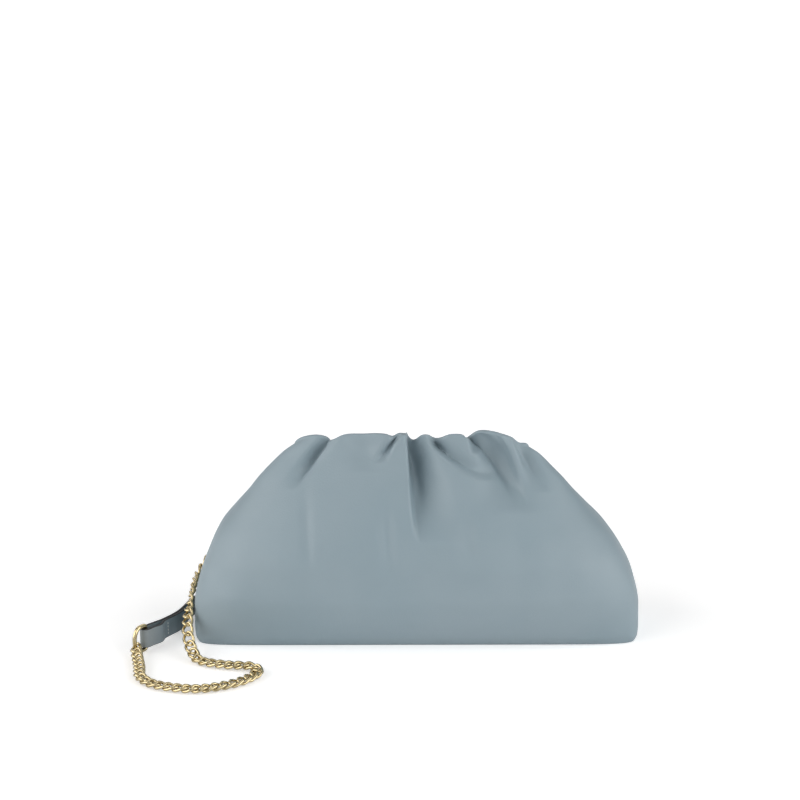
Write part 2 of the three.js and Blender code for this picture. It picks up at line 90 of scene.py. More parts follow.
# Sections of the pouch from the base to the rim, as shares of its height, half width and half depth.
# A higher squareness is a boxier plan.
SECTIONS = [
    {"rise": 0.0, "width": 0.978, "depth": 0.6, "square": 11},
    {"rise": 0.024, "width": 0.99, "depth": 0.665, "square": 8.5},
    {"rise": 0.08, "width": 0.996, "depth": 0.785, "square": 5.6},
    {"rise": 0.17, "width": 0.996, "depth": 0.91, "square": 4.3},
    {"rise": 0.28, "width": 0.976, "depth": 0.99, "square": 3.5},
    {"rise": 0.4, "width": 0.93, "depth": 0.99, "square": 3.0},
    {"rise": 0.52, "width": 0.868, "depth": 0.91, "square": 2.7},
    {"rise": 0.63, "width": 0.789, "depth": 0.79, "square": 2.5},
    {"rise": 0.73, "width": 0.726, "depth": 0.65, "square": 2.4},
    {"rise": 0.82, "width": 0.676, "depth": 0.51, "square": 2.3},
    {"rise": 0.9, "width": 0.62, "depth": 0.4, "square": 2.2},
    {"rise": 0.96, "width": 0.57, "depth": 0.345, "square": 2.1},
    {"rise": 1.0, "width": 0.52, "depth": 0.32, "square": 2.0},
]

# Folds of the gather. Each crease starts at the rim and fans out to its foot lower down, where it fades.
# rim, foot: distances to the right of the middle; foot_rise: height share of the foot;
# bend: how late the crease fans out; depth: how far it goes in;
# left, right: widths of its two slopes at the rim, and left_low, right_low at the foot;
# lip: how far the leather beside the steeper slope hangs over it;
# dip, dip_at, dip_width: how far the rim sinks beside it, how far to the right of it, and how broadly.
# The two shortest ones in front are small pockets under the rim.
FOLD_COLUMNS = (
    "rim", "foot", "foot_rise", "bend", "depth",
    "left", "right", "left_low", "right_low", "lip",
    "dip", "dip_at", "dip_width",
)
FRONT_FOLDS = table(FOLD_COLUMNS, [
    (-59, -84, 0.76, 1, 8.5, 4.6, 1.3, 8, 1.6, 4, 7, 1.5, 5),
    (-36, -31, 0.84, 1, 4, 13, 12, 10, 9, 0, 2, 0, 12),
    (-10, -21, 0.88, 1, 6.5, 3.4, 1.2, 6, 2.5, 1.6, 3, -3.5, 2.8),
    (-4.5, 7, 0.54, 1.3, 19, 1.2, 10.5, 2.4, 28, 4.5, 9, 5, 4.5),
    (13, 56, 0.79, 1.4, 6, 2.8, 10, 6, 14, 1, 6, 5, 6),
    (16, 21.5, 0.93, 1, 6, 2, 4.5, 3, 6, 1, 1, 0, 4),
    (38, 77, 0.66, 0.61, 12.5, 2, 12, 24, 13, 1.5, 7.5, 2, 4.2),
    (40, 45.5, 0.91, 1, 10, 2, 4.5, 3, 6, 2, 2.5, 2.5, 4),
    (60, 80, 0.68, 0.8, 5, 9, 2.5, 12, 3.5, 0, -1, -11, 5),
    (75, 90, 0.74, 1, 7, 3, 7, 4, 10, 1, 9, 5.5, 5),
])
BACK_FOLDS = table(FOLD_COLUMNS, [
    (-56, -84, 0.72, 1, 7, 7, 4, 14, 8, 1.5, 4, 0, 6),
    (-34, -52, 0.66, 1, 8, 7, 4, 14, 8, 1.5, 4, 0, 6),
    (-10, -18, 0.62, 1, 9, 8, 4, 14, 9, 1.5, 5, 0, 6),
    (14, 20, 0.68, 1, 8, 4, 7, 8, 14, 1.5, 4, 0, 6),
    (36, 52, 0.64, 1, 9, 4, 7, 9, 14, 1.5, 5, 0, 6),
    (56, 82, 0.74, 1, 6, 4, 7, 8, 14, 1.5, 4, 0, 6),
])

# Soft dents in the body of the pouch.
# along: distance to the right of the middle; rise, half_rise: shares of the height.
DENT_COLUMNS = ("along", "rise", "half_width", "half_rise", "depth")
FRONT_DENTS = table(DENT_COLUMNS, [
    (-17, 0.56, 5, 0.13, 2.2),
    (39, 0.57, 6, 0.1, 1.8),
    (-74, 0.6, 4, 0.14, 1.8),
    (74, 0.52, 9, 0.12, 1.0),
    (-48, 0.42, 16, 0.12, 1.0),
    (12, 0.4, 22, 0.1, 1.0),
    (104, 0.36, 12, 0.14, 1.2),
    (-108, 0.34, 12, 0.16, 1.2),
])
BACK_DENTS = table(DENT_COLUMNS, [
    (-40, 0.5, 10, 0.14, 1.4),
    (30, 0.46, 14, 0.14, 1.4),
    (90, 0.38, 14, 0.14, 1.2),
    (-100, 0.36, 12, 0.15, 1.2),
])

# Chain
GAP = 0.3  # clear space left between pieces
WIRE = 2.1
LINK_PITCH = 8.8  # where the chain hangs
SLACK_PITCH = 6.7  # where it lies slack on the floor
SLACK_BAND = (6, 16)  # heights between which it goes from slack to hanging
LINK_WIDTH = 8.8
LINK_DEPTH = 4.6  # the links are twisted, so the chain is this thick
LINK_BITE = 0.2  # neighbouring links press into each other by this much
LINK_HALF_LENGTH = (LINK_PITCH + WIRE - LINK_BITE) / 2  # to the middle of its wire
LINK_SLACK = 1.2  # how loosely a link hangs on the wire that holds it
LINK_STEPS = 36
LINK_SIDES = 12
TURN_STEP = 0.01  # radians over which the direction of a bent wire is taken
CHAIN_ON_FLOOR = LINK_DEPTH / 2 + 3 * GAP  # height of its middle
CHAIN_STEPS = 60  # for each span of its route
SAME_PLACE = 0.0001  # points of a route with a smaller spacing count as one

# Rings. They stand on the floor, and each heads along the end of the strap that it holds.
RING_WIRE = 3.1
RING_HEIGHT = 18  # along the middle of its wire
RING_LENGTH = 11.4
RING_CENTRE = RING_HEIGHT / 2 + RING_WIRE / 2 + GAP  # its height above the floor
RING_HELD_AT = 6  # height at which the chain's last link holds it
RING_FLATNESS = 0.3  # a lower one makes its straight side straighter
RING_STEPS = 96
RING_SIDES = 16
RING_LEFT = {"x": -196, "y": -48, "heading": math.atan2(0.8, 0.6)}
RING_RIGHT = {"x": 65.7, "y": 64, "heading": math.pi}

# Strap
STRAP_WIDTH = 14
STRAP_THICKNESS = 2
STRAP_FOLD = 52  # how far each end is folded back
STRAP_EDGE = 0.6  # rounding of its edges
STRAP_EYE = RING_WIRE / 2 + 2 * GAP + STRAP_THICKNESS / 2  # radius of its turn round a ring
STRAP_LOOP = 22  # length over which its two layers close up behind a ring
STRAP_BULGE = 2.2  # and the folded layer bulges there
STRAP_LIFTED = (14, 60)  # distances from a ring between which it comes down to the floor
STRAP_STEPS = 240
STRAP_SPAN_STEPS = 40  # for each span of its route
STRAP_TURN_STEPS = 25
STRAP_EDGE_STEPS = 6
PAINTED_EDGE = (0.7, 0.35)  # distances from its edges between which their paint begins
PAINTED_LIGHT_STRETCH = (4, 26)  # distances from a ring between which the painted light that makes it paler fades away

# Middle line of the strap, standing on its edge on the floor, from the left ring round behind the bag.
STRAP_ROUTE = [
    (-192.6, -43.4),
    (-187.2, -34.5),
    (-182, -24),
    (-177.2, -12.5),
    (-173.4, -1.5),
    (-170.4, 9),
    (-166, 24),
    (-155, 42),
    (-135, 55),
    (-105, 62),
    (-60, 64),
    (0, 64),
    (60, 64),
]

# Stitches, one row across each folded end of the strap
STITCH_ROW = 22.5  # distance of a row from the ring
STITCHES = 4
STITCH_PITCH = 2.5
STITCH_LENGTH = 1.9
STITCH_TAPER = 1.96  # at 2 a stitch would end in points
STITCH_SIDES = 10
STITCH_RINGS = 9
THREAD = 0.55

# Eyes that hold the chains, each a loop of wire on a small plate
EYE_WIRE = 1.8
EYE_HEIGHT = 7.8  # along the middle of its wire
EYE_LENGTH = 9
EYE_CENTRE = 2 * GAP + EYE_WIRE + EYE_HEIGHT / 2  # its height above the leather
EYE_STEPS = 48
EYE_SIDES = 14
EYE_LEFT = {"degrees": 146, "rise": 0.84, "toward_degrees": 141, "toward_rise": 0.7}
EYE_RIGHT = {"degrees": 36, "rise": 0.84, "toward_degrees": 39, "toward_rise": 0.7}
PLATE_LENGTH = 12
PLATE_WIDTH = 6
PLATE_THICKNESS = 1.4
PLATE_LIFT = 4 * GAP
PLATE_FLATNESS = 0.4  # a lower one makes its corners sharper
PLATE_POINTS = 48
PLATE_LEVELS = table(("height", "inset"), [(0, 0.94), (0.15, 1), (0.75, 1), (0.93, 0.96), (1, 0.88)])

# Colours
BAG_BLUES = ((0.243, 0.318, 0.358), (0.264, 0.335, 0.374))
STRAP_BLUES = ((0.18, 0.238, 0.272), (0.2, 0.262, 0.297))
# painted light: the strap's leather is drawn paler near the rings, where light falls on it
PAINTED_LIGHT_BLUE = (0.27, 0.31, 0.325)
EDGE_PAINT = (0.012, 0.012, 0.014)
THREAD_GREYS = ((0.5, 0.53, 0.53), (0.66, 0.68, 0.67))
GOLDS = ((0.535, 0.442, 0.25), (0.61, 0.51, 0.302))
FLOOR_WHITE = (0.95, 0.95, 0.95)
WHITE = (1, 1, 1)

# Leather grain, in metres
BAG_GRAIN = 0.0011
STRAP_GRAIN = 0.0009
GRAIN_HEIGHT = 0.0004

# Camera and studio. Places are in metres, the lens and its sensor in millimetres.
CAMERA_PLACE = (0, -1.4095, 0.583)
CAMERA_TARGET = (-0.0114, 0.0338, 0.1633)
CAMERA_ROLL_DEGREES = -0.3
CAMERA_LENS = 93.1
CAMERA_SENSOR = 36
CAMERA_REACH = 50
SUN_SPREAD_DEGREES = 80
SUNS = [
    {"name": "left", "toward": (1, 0.4, -0.2), "strength": 2.65, "colour": (1, 0.98, 0.97)},
    {"name": "right", "toward": (-1, 0.4, -0.2), "strength": 2.5, "colour": WHITE},
]
SKY_STRENGTH = 0.45
ZENITH = 0.5  # brightness straight above, as a share of that at the horizon
SOFTBOX = 2.6  # brightness of a softbox in a reflection
SOFTBOX_GAP = 0.01  # and of the dark between two of them
SOFTBOX_SCALE = 2.2  # a higher one makes them smaller
SOFTBOX_EDGE = (0.5, 0.56)  # values of a noise between which the dark turns into a softbox
FLOOR_HALF_SIDE = 20
FLOOR_GLOW = 0.08
FLOOR_GLOW_SEEN = 0.34  # more glow where the camera sees it, for an overexposed white


def smooth(low, high, value):
    """From 0 at low to 1 at high, with soft ends."""
    t = np.clip((value - low) / (high - low), 0, 1)
    return t * t * (3 - 2 * t)


def unit(vector):
    vector = np.asarray(vector, float)
    return vector / np.linalg.norm(vector, axis=-1, keepdims=True)


def section(column, rise):
    """A smooth curve through one column of the section table that never overshoots its rows."""
    x = np.array([row["rise"] for row in SECTIONS])
    y = np.array([row[column] for row in SECTIONS], float)
    slope = np.diff(y) / np.diff(x)
    before, after = slope[:-1], slope[1:]
    turning = before * after <= 0
    inner = np.where(turning, 0, 2 * before * after / np.where(turning, 1, before + after))
    tangent = np.concatenate([slope[:1], inner, slope[-1:]])
    i = np.clip(np.searchsorted(x, rise, side="left") - 1, 0, len(x) - 2)
    span = x[i + 1] - x[i]
    t = (rise - x[i]) / span
    rest = 1 - t
    return (
        y[i] * (1 + 2 * t) * rest * rest
        + tangent[i] * span * t * rest * rest
        + y[i + 1] * t * t * (3 - 2 * t)
        - tangent[i + 1] * span * t * t * rest
    )


def fold_shift(folds, along, rise, thickness):
    """How far the folds of one side pull the wall inward, push it along, and pull its rim down.

    Under a thickness of leather each fold is wider by that thickness.
    """
    depth = np.zeros(np.broadcast(along, rise).shape)
    sideways = np.zeros_like(depth)
    dip = np.zeros_like(depth)
    for fold in folds:
        down = np.clip((1 - rise) / (1 - fold["foot_rise"]), 0, 1)
        crease = fold["rim"] + (fold["foot"] - fold["rim"]) * down ** fold["bend"]
        across = along - crease
        left = fold["left"] + (fold["left_low"] - fold["left"]) * down
        right = fold["right"] + (fold["right_low"] - fold["right"]) * down
        width = np.where(across < 0, left, right) + thickness
        fading = (1 - down**FOLD_REACH) ** FOLD_SOFTNESS
        strength = fading * (RIM_DEPTH + (1 - RIM_DEPTH) * smooth(0, RIM_STRETCH, down))
        depth += fold["depth"] * strength * np.exp(-np.abs(across / width) ** FOLD_SQUARENESS)
        sunk = (across - fold["dip_at"]) / (fold["dip_width"] + thickness)
        dip += fold["dip"] * fading * np.exp(-(sunk**2))
        steep = -1 if fold["left"] < fold["right"] else 1
        narrow = left if steep < 0 else right
        beside = (across - steep * LIP_AT * narrow) / (LIP_SPREAD * narrow + LIP_ROUNDING)
        overhang = fold["lip"] * strength * (1 - down)
        sideways -= steep * overhang * np.exp(-(beside**2))
    return depth, sideways, dip


def dent_depth(dents, along, rise):
    depth = np.zeros(np.broadcast(along, rise).shape)
    for dent in dents:
        aside = (along - dent["along"]) / dent["half_width"]
        above = (rise - dent["rise"]) / dent["half_rise"]
        depth += dent["depth"] * np.exp(-(aside**2) - above**2)
    return depth


def wall(angle, rise, thickness=0):
    """Points of the pouch's wall, on the outside or under a thickness of leather.

    The angle goes round from the right end (0) by the back to the left end.
    """
    half_width = section("width", rise) * BAG_WIDTH / 2
    half_depth = section("depth", rise) * BAG_DEPTH / 2
    square = section("square", rise)
    side = np.where(np.sin(angle) >= 0, 1.0, -1.0)
    across = np.cos(angle)
    bulge = np.maximum(0, 1 - np.abs(across) ** square) ** (1 / square)
    x = across * half_width
    y = side * bulge * half_depth
    out_x = np.sign(across) * np.abs(across) ** (square - 1) / half_width
    out_y = side * bulge ** (square - 1) / half_depth
    length = np.hypot(out_x, out_y)
    toward_end = 1 - across**END_FADE_POWER
    back = fold_shift(BACK_FOLDS, x, rise, thickness)
    front = fold_shift(FRONT_FOLDS, x, rise, thickness)
    depth, sideways, dip = [np.where(side > 0, b, f) * toward_end for b, f in zip(back, front)]
    dents = np.where(side > 0, dent_depth(BACK_DENTS, x, rise), dent_depth(FRONT_DENTS, x, rise))
    inward = depth + dents * toward_end + thickness
    rear = smooth(-1, 1, side * bulge)
    end_drop = np.where(across < 0, LEFT_DROP, RIGHT_DROP) * across**END_DROP_POWER
    drop = (REAR_DROP * rear + end_drop + dip) * smooth(*DROP_BAND, rise)
    lean = LEAN_LEFT * smooth(*LEAN_BAND, rise) + RIM_LEAN_LEFT * smooth(*RIM_LEAN_BAND, rise)
    return np.stack(
        [
            x - out_x / length * inward + sideways - lean,
            y - out_y / length * inward,
            rise * BAG_HEIGHT - drop,
        ],
        -1,
    )


def on_wall(degrees, rise, lift):
    """A place on the outside of the pouch, lifted off it, with the way the wall faces there."""
    angle = np.radians(degrees)
    around = wall(angle + WALL_STEP, rise) - wall(angle - WALL_STEP, rise)
    upward = wall(angle, min(1, rise + WALL_STEP)) - wall(angle, max(0, rise - WALL_STEP))
    face = unit(np.cross(around, upward))
    return wall(angle, rise) + face * lift, face


def spline(points, per_span):
    """A smooth curve through the points, with knots spaced by the root of their distance.

    Two points may be the same; the spacing beside them is then made up from the next one.
    """
    points = np.asarray(points, float)
    first = 2 * points[0] - points[1]
    last = 2 * points[-1] - points[-2]
    padded = np.concatenate([[first], points, [last]])
    t = (np.arange(per_span) / per_span)[:, None]
    curve = []
    for i in range(len(points) - 1):
        p0, p1, p2, p3 = padded[i : i + 4]
        d0, d1, d2 = [np.sqrt(np.linalg.norm(b - a)) for a, b in ((p0, p1), (p1, p2), (p2, p3))]
        d1 = d1 if d1 > SAME_PLACE else 1
        d0 = d0 if d0 > SAME_PLACE else d1
        d2 = d2 if d2 > SAME_PLACE else d1
        t1 = ((p1 - p0) / d0 - (p2 - p0) / (d0 + d1) + (p2 - p1) / d1) * d1
        t2 = ((p2 - p1) / d1 - (p3 - p1) / (d1 + d2) + (p3 - p2) / d2) * d1
        square = 3 * (p2 - p1) - 2 * t1 - t2
        cube = 2 * (p1 - p2) + t1 + t2
        curve.append(p1 + t1 * t + square * t**2 + cube * t**3)
    return np.concatenate([*curve, points[-1:]])


def lengths(curve):
    """Distance along the curve to each of its points."""
    steps = np.linalg.norm(np.diff(curve, axis=0), axis=1)
    return np.concatenate([[0], np.cumsum(steps)])


def sample(wanted, measure, line):
    """The line where its measure has the wanted values."""
    return np.stack([np.interp(wanted, measure, line[:, k]) for k in range(line.shape[1])], 1)


def mesh_object(name, points, faces, material):
    mesh = bpy.data.meshes.new(name)
    mesh.from_pydata((np.asarray(points) * MM).tolist(), [], faces)
    mesh.validate()
    mesh.shade_smooth()
    mesh.materials.append(material)
    piece = bpy.data.objects.new(name, mesh)
    bpy.context.scene.collection.objects.link(piece)
    return piece


def grid_faces(rows, columns, closed_rows=False):
    """Quads of a grid whose columns go round and, if asked, whose rows close too."""
    faces = []
    for r in range(rows if closed_rows else rows - 1):
        low = r * columns
        high = (r + 1) % rows * columns
        for c in range(columns):
            after = (c + 1) % columns
            faces.append((low + c, low + after, high + after, high + c))
    return faces


def capped_faces(rows, columns):
    """Quads of a grid whose columns go round, with a face over its first and over its last row."""
    first = tuple(range(columns))[::-1]
    last = tuple(range((rows - 1) * columns, rows * columns))
    return grid_faces(rows, columns) + [first, last]


def shifted(faces, start):
    """Faces of a mesh whose points come after others."""
    return [tuple(start + k for k in face) for face in faces]


def make_bag(material):
    """The pouch: its outside, the rounded edge of its mouth, and its inside down to the base."""
    back = np.pi * np.arange(BACK_COLUMNS) / BACK_COLUMNS
    front = np.pi + np.pi * np.arange(FRONT_COLUMNS) / FRONT_COLUMNS
    angles = np.concatenate([back, front])[None, :]
    level = np.linspace(0, 1, OUTER_ROWS)[:, None]
    rises = level * (1 + ROW_CROWDING * (1 - level))
    outside = wall(angles, rises)
    inner_rises = rises[np.linspace(0, OUTER_ROWS - 1, INNER_ROWS).round().astype(int)]
    inside = wall(angles, inner_rises, LEATHER + (HEM - LEATHER) * smooth(*HEM_BAND, inner_rises))
    inside[0, :, 2] = LEATHER
    middle = (outside[-1] + inside[-1]) / 2
    arm = outside[-1] - middle
    turn = np.pi * np.arange(1, RIM_ROWS + 1)[:, None, None] / (RIM_ROWS + 1)
    rim = middle + arm * np.cos(turn) + np.array(UP) * HEM / 2 * np.sin(turn)
    rings = np.concatenate([outside, rim, inside[::-1]])
    faces = capped_faces(len(rings), angles.shape[1])
    return mesh_object("pouch", rings.reshape(-1, 3), faces, material)


def wire_loop(middle, steady, radius, steps, sides):
    """A wire bent into a closed loop along middle(turn); its section keeps to a steady direction."""
    turns = 2 * np.pi * np.arange(steps) / steps
    here = middle(turns)
    along = unit(middle(turns + TURN_STEP) - middle(turns - TURN_STEP))
    steady = np.asarray(steady, float)
    flat = unit(steady - along * (along @ steady)[:, None])
    over = np.cross(along, flat)
    around = 2 * np.pi * np.arange(sides) / sides
    points = (
        here[:, None]
        + radius * np.cos(around)[None, :, None] * flat[:, None]
        + radius * np.sin(around)[None, :, None] * over[:, None]
    )
    return points.reshape(-1, 3), grid_faces(steps, sides, closed_rows=True)


def link_shape():
    """One twisted curb link about its own middle, long way along X, lying flat in XY."""
    half_width = (LINK_WIDTH - WIRE) / 2
    twist = (LINK_DEPTH - WIRE) / 2

    def middle(turn):
        x = LINK_HALF_LENGTH * np.cos(turn)
        y = half_width * np.sin(turn)
        z = -twist * np.sin(2 * turn)
        return np.stack([x, y, z], -1)

    return wire_loop(middle, UP, WIRE / 2, LINK_STEPS, LINK_SIDES)


def eye_frame(eye):
    """Place and axes of an eye: X along the chain that leaves it, Z straight out of the leather."""
    foot, face = on_wall(eye["degrees"], eye["rise"], 0)
    along = on_wall(eye["toward_degrees"], eye["toward_rise"], 0)[0] - foot
    along = unit(along - face * (along @ face))
    return foot, np.stack([along, np.cross(face, along), face])


def eye_link(eye, further):
    """The place of a link that hangs in an eye, or of one further down the chain."""
    reach = EYE_LENGTH / 2 - (EYE_WIRE + WIRE) / 2 - LINK_SLACK + LINK_HALF_LENGTH
    foot, axes = eye_frame(eye)
    return foot + np.array([reach + further, 0, EYE_CENTRE]) @ axes, axes[2]


def ring_forward(ring):
    """The way a ring heads."""
    return np.array([math.cos(ring["heading"]), math.sin(ring["heading"]), 0])


def ring_link(ring, approach, further):
    """The place of the link that holds a ring on its round side, or of one further back."""
    below = (RING_CENTRE - RING_HELD_AT) / (RING_HEIGHT / 2)
    inset = math.sqrt(1 - below**2)
    forward = ring_forward(ring)
    wire = np.array([ring["x"], ring["y"], RING_HELD_AT]) - forward * RING_LENGTH / 2 * inset
    along = unit(approach)
    back = LINK_HALF_LENGTH - (RING_WIRE + WIRE) / 2 - LINK_SLACK + further
    face = np.array([0, 0, RING_HEIGHT * inset]) - forward * RING_LENGTH * below
    return wire - along * back, unit(face - along * (face @ along))


def on_floor(*places):
    """Places where the chain lies flat on the floor."""
    return [((x, y, CHAIN_ON_FLOOR), UP) for x, y in places]


def left_chain_route():
    """The visible chain: down behind the left shoulder, round the left end, then a loop on the floor.

    Each place comes with the way that the chain faces there.
    """
    return [
        eye_link(EYE_LEFT, 0),
        eye_link(EYE_LEFT, LINK_PITCH),
        on_wall(139, 0.67, 2.8),
        on_wall(140, 0.55, 2.8),
        on_wall(144, 0.45, 2.8),
        on_wall(155, 0.35, 2.7),
        on_wall(165, 0.27, 2.7),
        on_wall(173, 0.22, 2.8),
        ((-163, 0, 30), (-1, -0.1, 0.1)),
        ((-163.6, -12, 26.4), (-0.9, -0.3, 0.2)),
        ((-163.8, -25, 22.5), (-0.5, -0.7, 0.5)),
        ((-163.2, -38, 19), (-0.2, -0.8, 0.55)),
        ((-162, -48, 14), (-0.1, -0.7, 0.7)),
        ((-159, -57, 7.5), (0, -0.4, 0.9)),
        *on_floor((-153.5, -66), (-145, -72), (-131, -76), (-116, -78.5), (-110, -86), (-115, -98)),
        *on_floor((-127, -108.5), (-148, -116), (-167, -113.5)),
        *on_floor((-182, -106.5), (-190.5, -95), (-193, -80)),
        ring_link(RING_LEFT, (-0.2, 0.98, 0.15), LINK_PITCH),
        ring_link(RING_LEFT, (-0.2, 0.98, 0.15), 0),
    ]


def right_chain_route():
    """The hidden chain: down the back of the right shoulder, and over the floor behind the bag."""
    return [
        eye_link(EYE_RIGHT, 0),
        eye_link(EYE_RIGHT, LINK_PITCH),
        on_wall(41, 0.67, 4.2),
        on_wall(40, 0.55, 4.2),
        on_wall(37, 0.45, 4.2),
        on_wall(31, 0.33, 4.2),
        on_wall(27, 0.2, 5),
        ((146, 58, 5), UP),
        *on_floor((148, 76), (140, 96), (128, 116), (122, 140), (106, 158)),
        *on_floor((86, 152), (80, 130), (88, 106), (90, 84)),
        ring_link(RING_RIGHT, (-1, -0.4, 0.3), LINK_PITCH),
        ring_link(RING_RIGHT, (-1, -0.4, 0.3), 0),
    ]


def make_chain(name, route, material):
    """A chain of equal links along a route, closer together where it lies slack on the floor."""
    path = spline([place for place, face in route], CHAIN_STEPS)
    facing = spline([face for place, face in route], CHAIN_STEPS)
    pitch = SLACK_PITCH + (LINK_PITCH - SLACK_PITCH) * smooth(*SLACK_BAND, path[:, 2])
    links = np.cumsum(np.gradient(lengths(path)) / pitch)
    links -= links[0]
    count = math.ceil(links[-1]) + 1
    wanted = np.linspace(0, links[-1], count)
    centres = sample(wanted, links, path)
    along = unit(sample(wanted, links, np.gradient(path, axis=0)))
    face_up = sample(wanted, links, facing)
    face_up = unit(face_up - along * np.sum(face_up * along, axis=1, keepdims=True))
    across = np.cross(face_up, along)
    shape, shape_faces = link_shape()
    points = []
    faces = []
    for i in range(count):
        axes = np.stack([along[i], across[i], face_up[i]])
        points.append(centres[i] + shape @ axes)
        faces += shifted(shape_faces, i * len(shape))
    return mesh_object(name, np.concatenate(points), faces, material)


def make_ring(name, ring, material):
    """A D-shaped ring standing on the floor: straight on the strap's side, round on the chain's."""
    centre = np.array([ring["x"], ring["y"], RING_CENTRE])
    forward = ring_forward(ring)

    def middle(turn):
        power = np.where(np.cos(turn) > 0, RING_FLATNESS, 1)
        ahead = np.sign(np.cos(turn)) * np.abs(np.cos(turn)) ** power * RING_LENGTH / 2
        upward = np.sign(np.sin(turn)) * np.abs(np.sin(turn)) ** power * RING_HEIGHT / 2
        return centre + ahead[:, None] * forward + upward[:, None] * np.array(UP)

    points, faces = wire_loop(middle, np.cross(forward, UP), RING_WIRE / 2, RING_STEPS, RING_SIDES)
    return mesh_object(name, points, faces, material)


def make_eye(name, eye, material):
    """A plain metal eye on a small plate, behind the end of the mouth."""
    foot, axes = eye_frame(eye)

    def middle(turn):
        x = EYE_LENGTH / 2 * np.cos(turn)
        z = EYE_CENTRE + EYE_HEIGHT / 2 * np.sin(turn)
        return np.stack([x, 0 * turn, z], -1)

    loop, loop_faces = wire_loop(middle, (0, 1, 0), EYE_WIRE / 2, EYE_STEPS, EYE_SIDES)
    plate, plate_faces = eye_plate()
    points = np.concatenate([loop, plate])
    faces = loop_faces + shifted(plate_faces, len(loop))
    return mesh_object(name, foot + points @ axes, faces, material)


def eye_plate():
    """A small plate with rounded corners and softened edges."""

    def flattened(value):
        return np.sign(value) * np.abs(value) ** PLATE_FLATNESS

    turns = 2 * np.pi * np.arange(PLATE_POINTS) / PLATE_POINTS
    x = PLATE_LENGTH / 2 * flattened(np.cos(turns))
    y = PLATE_WIDTH / 2 * flattened(np.sin(turns))
    rings = []
    for level in PLATE_LEVELS:
        z = np.full(PLATE_POINTS, PLATE_LIFT + level["height"] * PLATE_THICKNESS)
        rings.append(np.stack([x * level["inset"], y * level["inset"], z], 1))
    return np.concatenate(rings), capped_faces(len(rings), PLATE_POINTS)


def strap_run():
    """The strap's middle line from above, its distance from the nearer ring, and the side it folds to."""
    curve = spline([(x, y, 0) for x, y in STRAP_ROUTE], STRAP_SPAN_STEPS)
    distance = lengths(curve)
    run = sample(np.linspace(0, distance[-1], STRAP_STEPS), distance, curve)
    forward = unit(np.gradient(run, axis=0))
    side = np.stack([forward[:, 1], -forward[:, 0], 0 * forward[:, 0]], 1)
    distance = lengths(run)
    return run, np.minimum(distance, distance[-1] - distance), side


def strap_layers(run, from_ring, side):
    """The main layer of the strap, and the folded layer beside it; the two open up round the rings."""
    apart = 1 - smooth(0, STRAP_LOOP, from_ring)
    flat = STRAP_THICKNESS + GAP
    bulge = STRAP_BULGE * np.exp(-(((from_ring - STRAP_LOOP / 2) / (STRAP_LOOP / 4)) ** 2))
    folded = flat + (STRAP_EYE - flat) * apart + bulge
    return run - side * (STRAP_EYE * apart)[:, None], run + side * folded[:, None]


def strap_line():
    """One long line from the end of one folded layer, round both rings, to the end of the other."""
    run, from_ring, side = strap_run()
    main, folded = strap_layers(run, from_ring, side)
    half = len(run) // 2
    doubled = from_ring < STRAP_FOLD
    first = folded[:half][doubled[:half]]
    last = folded[half:][doubled[half:]]
    turn = np.linspace(-np.pi / 2, np.pi / 2, STRAP_TURN_STEPS)[1:-1, None]
    turns = []
    for end, beyond in ((0, run[0] - run[1]), (-1, run[-1] - run[-2])):
        turns.append(run[end] + STRAP_EYE * (unit(beyond) * np.cos(turn) + side[end] * np.sin(turn)))
    return np.concatenate([first[::-1], turns[0][::-1], main, turns[1], last[::-1]])


def strap_lift(points):
    """How far the strap is lifted, clear of a ring's lower side, and its distance from the nearer ring."""
    away = []
    for ring in (RING_LEFT, RING_RIGHT):
        away.append(np.hypot(points[..., 0] - ring["x"], points[..., 1] - ring["y"]))
    nearest = np.minimum(*away)
    return (RING_CENTRE - STRAP_WIDTH / 2) * (1 - smooth(*STRAP_LIFTED, nearest)), nearest


def strap_outline():
    """The section of the strap, with rounded edges: its thickness along X, its width along Z."""
    inset_x = STRAP_THICKNESS / 2 - STRAP_EDGE
    inset_z = STRAP_WIDTH / 2 - STRAP_EDGE
    turns = np.linspace(0, np.pi / 2, STRAP_EDGE_STEPS)
    outline = []
    for quarter, (x, z) in enumerate([(1, 1), (-1, 1), (-1, -1), (1, -1)]):
        corner = turns + quarter * np.pi / 2
        rounded = STRAP_EDGE * np.stack([np.cos(corner), np.sin(corner)], 1)
        outline.append(np.array([x * inset_x, z * inset_z]) + rounded)
    return np.concatenate(outline)


def make_strap(material):
    """The leather band of the strap, with its two ends turned round the rings and folded back."""
    line = strap_line()
    ahead = unit(np.gradient(line, axis=0))
    across = np.stack([-ahead[:, 1], ahead[:, 0], 0 * ahead[:, 0]], 1)
    outline = strap_outline()
    lift, from_ring = strap_lift(line)
    points = line[:, None] + across[:, None] * outline[None, :, :1]
    points[..., 2] += outline[None, :, 1] + (STRAP_WIDTH / 2 + lift)[:, None]
    count = len(outline)
    piece = mesh_object("strap", points.reshape(-1, 3), capped_faces(len(line), count), material)
    begins, full = [STRAP_WIDTH / 2 - distance for distance in PAINTED_EDGE]
    painted = smooth(begins, full, np.abs(outline[:, 1]))
    add_values(piece, "edge_paint", np.tile(painted, len(line)))
    # painted light: a share for each point that makes the strap paler near a ring
    add_values(piece, "painted_light", np.repeat(1 - smooth(*PAINTED_LIGHT_STRETCH, from_ring), count))
    return piece


def add_values(piece, name, values):
    """A number for each point of a mesh, for its material to read."""
    attribute = piece.data.attributes.new(name, "FLOAT", "POINT")
    attribute.data.foreach_set("value", np.ascontiguousarray(values, float))


